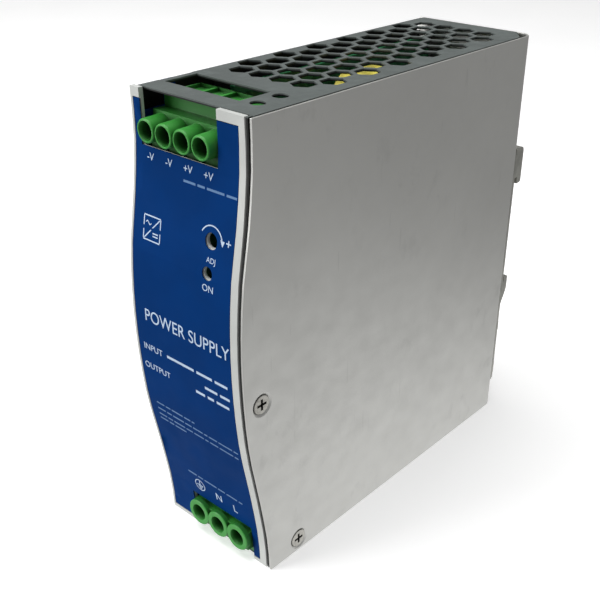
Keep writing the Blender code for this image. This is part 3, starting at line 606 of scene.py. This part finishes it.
def spring():
    """The latch's coil spring, its end turns closed up."""
    low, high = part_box("latch_spring")
    low, high = low / MM, high / MM
    wire = 0.22
    radius = (high.x - low.x) / 2 - wire
    middle_y, turns, per_turn = (low.y + high.y) / 2, 8, 20
    path = []
    for i in range(turns * per_turn + 1):
        t = i / (turns * per_turn)
        ease = 0.5 - 0.5 * math.cos(math.pi * t)
        climb = 0.35 * t + 0.65 * ease
        a = math.tau * i / per_turn
        path.append(Vector((radius * math.cos(a), middle_y + radius * math.sin(a),
                            low.z + wire + (high.z - low.z - 2 * wire) * climb)))
    coil = place(tube("latch_spring_fine", path, wire), "case", "spring_steel", "latch_spring")
    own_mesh(coil)


# ---------------------------------------------------------------- studio

CASE_MIDDLE = (0, 0, 60)


def area_light(name, place_mm, side, power):
    """A soft square light, aimed at the middle of the case and never in view itself."""
    data = bpy.data.lights.new(name, "AREA")
    data.shape = "RECTANGLE"
    data.size = data.size_y = side * MM
    data.energy = power
    lamp = bpy.data.objects.new(name, data)
    lamp.location = Vector(place_mm) * MM
    aim = Vector(CASE_MIDDLE) - Vector(place_mm)
    lamp.rotation_euler = aim.to_track_quat("-Z", "Y").to_euler()
    lamp.visible_camera = False
    bpy.context.collection.objects.link(lamp)


def card(name, corners, color, strength, camera_only):
    """A flat sheet of the stage, seen by the camera alone or by reflections and bounced light alone."""
    mesh = bpy.data.meshes.new(name)
    mesh.from_pydata([Vector(c) * MM for c in corners], [], [(0, 1, 2, 3)])
    sheet = add_object(name, mesh)
    sheet.visible_camera = camera_only
    for ray in ("diffuse", "glossy", "transmission"):
        setattr(sheet, "visible_" + ray, not camera_only)
    sheet.visible_shadow = False
    paper = Surface(name + "_paper", color, roughness=0.9)
    paper.set("Emission Color", (1, 1, 1, 1))
    paper.set("Emission Strength", strength)
    mesh.materials.append(paper.material)
    return paper


def square(reach, z):
    return ((-reach, -reach, z), (reach, -reach, z), (reach, reach, z), (-reach, reach, z))


def studio():
    """A pale floor and backdrop, soft light from above and the left, and a fading bounce card."""
    paper = card("floor", square(9000, -0.2), (0.8, 0.8, 0.8), 0.42, True)
    mottle = paper.ranged(paper.noise(60), 0.3, 0.7)
    paper.color(paper.blend(mottle, (0.79, 0.79, 0.79), (0.82, 0.82, 0.82)))
    bounce = card("bounce_card", square(2500, -0.4), (0, 0, 0), 1.0, False)
    near, far, bright, dim = 45 * MM, 230 * MM, 0.89, 0.32
    reach = bounce.node("ShaderNodeVectorMath", operation="LENGTH")
    bounce.link(bounce.place, reach.inputs[0])
    bounce.link(bounce.ranged(reach.outputs["Value"], near, far, bright, dim),
                bounce.shader.inputs["Emission Strength"])
    world = bpy.data.worlds.new("studio")
    world.use_nodes = True
    sky = world.node_tree.nodes["Background"]
    sky.inputs["Color"].default_value = (1, 1, 1, 1)
    sky.inputs["Strength"].default_value = 0.3
    bpy.context.scene.world = world
    backdrop()
    area_light("top_light", (-150, -100, 900), side=700, power=7.0)
    area_light("front_light", (-450, -650, 350), side=500, power=5.0)
    bpy.context.scene.view_settings.view_transform = "Standard"


def backdrop():
    """A white dome that only the camera sees, so that every view has a plain background."""
    bm = bmesh.new()
    bmesh.ops.create_uvsphere(bm, u_segments=24, v_segments=12, radius=8.9)
    mesh = bpy.data.meshes.new("backdrop")
    bm.to_mesh(mesh)
    bm.free()
    dome = add_object("backdrop", mesh)
    for ray in ("diffuse", "glossy", "transmission", "shadow"):
        setattr(dome, "visible_" + ray, False)
    paper = Surface("backdrop_paper", (0, 0, 0), roughness=1.0)
    paper.set("Emission Color", (1, 1, 1, 1))
    paper.set("Emission Strength", 1.0)
    mesh.materials.append(paper.material)


def camera():
    """The photograph's viewpoint, a little above and to the right of the front."""
    data = bpy.data.cameras.new("camera")
    data.sensor_width, data.lens = 36.0, 54.75
    data.shift_x, data.shift_y = -0.01458, 0.00957
    data.clip_start = 0.01
    eye, target = Vector((150.585, -184.25, 178.771)), Vector((-5.12, -11.36, 55.15))
    roll = math.radians(-0.16)
    ahead = (target - eye).normalized()
    right = ahead.cross(Vector((0, 0, 1))).normalized()
    down = ahead.cross(right)
    side = right * math.cos(roll) + down * math.sin(roll)
    drop = down * math.cos(roll) - right * math.sin(roll)
    turn = Matrix((side, -drop, -ahead)).transposed().to_4x4()
    obj = bpy.data.objects.new("camera", data)
    obj.matrix_world = Matrix.Translation(eye * MM) @ turn
    bpy.context.collection.objects.link(obj)
    bpy.context.scene.camera = obj


# How near the face or an opening a point of the film belongs to it, and how near it lies on an edge
NEAR = 0.1
ON_EDGE = 0.05


def set_back(vertex):
    """Sinks the label's face a little, so that its print stays inside the panel's outline."""
    if vertex.co.y / MM < face_depth(vertex.co.z / MM) + NEAR:
        vertex.co.y += FILM_SET_BACK * MM


def reach_openings(vertex):
    """Brings the film's edge up to the terminal openings, so that no bare panel shows round them."""
    x, z = vertex.co.x / MM, vertex.co.z / MM
    for left, right, bottom, top in LABEL_OPENINGS:
        level = bottom if top is None else top
        beyond = z > level - NEAR if top is None else z < level + NEAR
        if not (beyond and left - NEAR < x < right + NEAR):
            continue
        if abs(z - level) < ON_EDGE:
            vertex.co.z += FILM_OVERLAP * MM * (1 if top is None else -1)
        if abs(x - left) < ON_EDGE:
            vertex.co.x += FILM_OVERLAP * MM
        elif abs(x - right) < ON_EDGE:
            vertex.co.x -= FILM_OVERLAP * MM


def label_film():
    """The film in narrow strips that follow its curve, so that light falls on it without creases."""
    bm = bmesh.new()
    bm.from_mesh(frame["nodes"]["front_label"].data)
    bmesh.ops.remove_doubles(bm, verts=bm.verts, dist=WELD)
    for vertex in bm.verts:
        set_back(vertex)
        reach_openings(vertex)
    low, high = (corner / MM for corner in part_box("front_label"))
    for axis, start, stop in ((2, low.z, high.z), (0, low.x, high.x)):
        count = round((stop - start) / FILM_GRID)
        for i in range(1, count):
            point, normal = Vector((0, 0, 0)), Vector((0, 0, 0))
            point[axis] = (start + (stop - start) * i / count) * MM
            normal[axis] = 1
            bmesh.ops.bisect_plane(bm, geom=bm.verts[:] + bm.edges[:] + bm.faces[:], dist=1e-7,
                                   plane_co=point, plane_no=normal)
    mesh = bpy.data.meshes.new("front_label_fine")
    bm.to_mesh(mesh)
    bm.free()
    mesh.shade_smooth()
    mesh.set_sharp_from_angle(angle=math.radians(30))
    place(add_object("front_label_fine", mesh), "case", "label_blue", "front_label")


camera()
studio()
for node, slot_name in SLOT_OF.items():
    if node == "front_label":
        label_film()
    elif slot_name in EDGE_WIDTHS:
        refined(node, EDGE_WIDTHS[slot_name])
    elif slot_name == "enamel_copper":
        refined(node, 0.1, angle=60)
spring()
label_print()
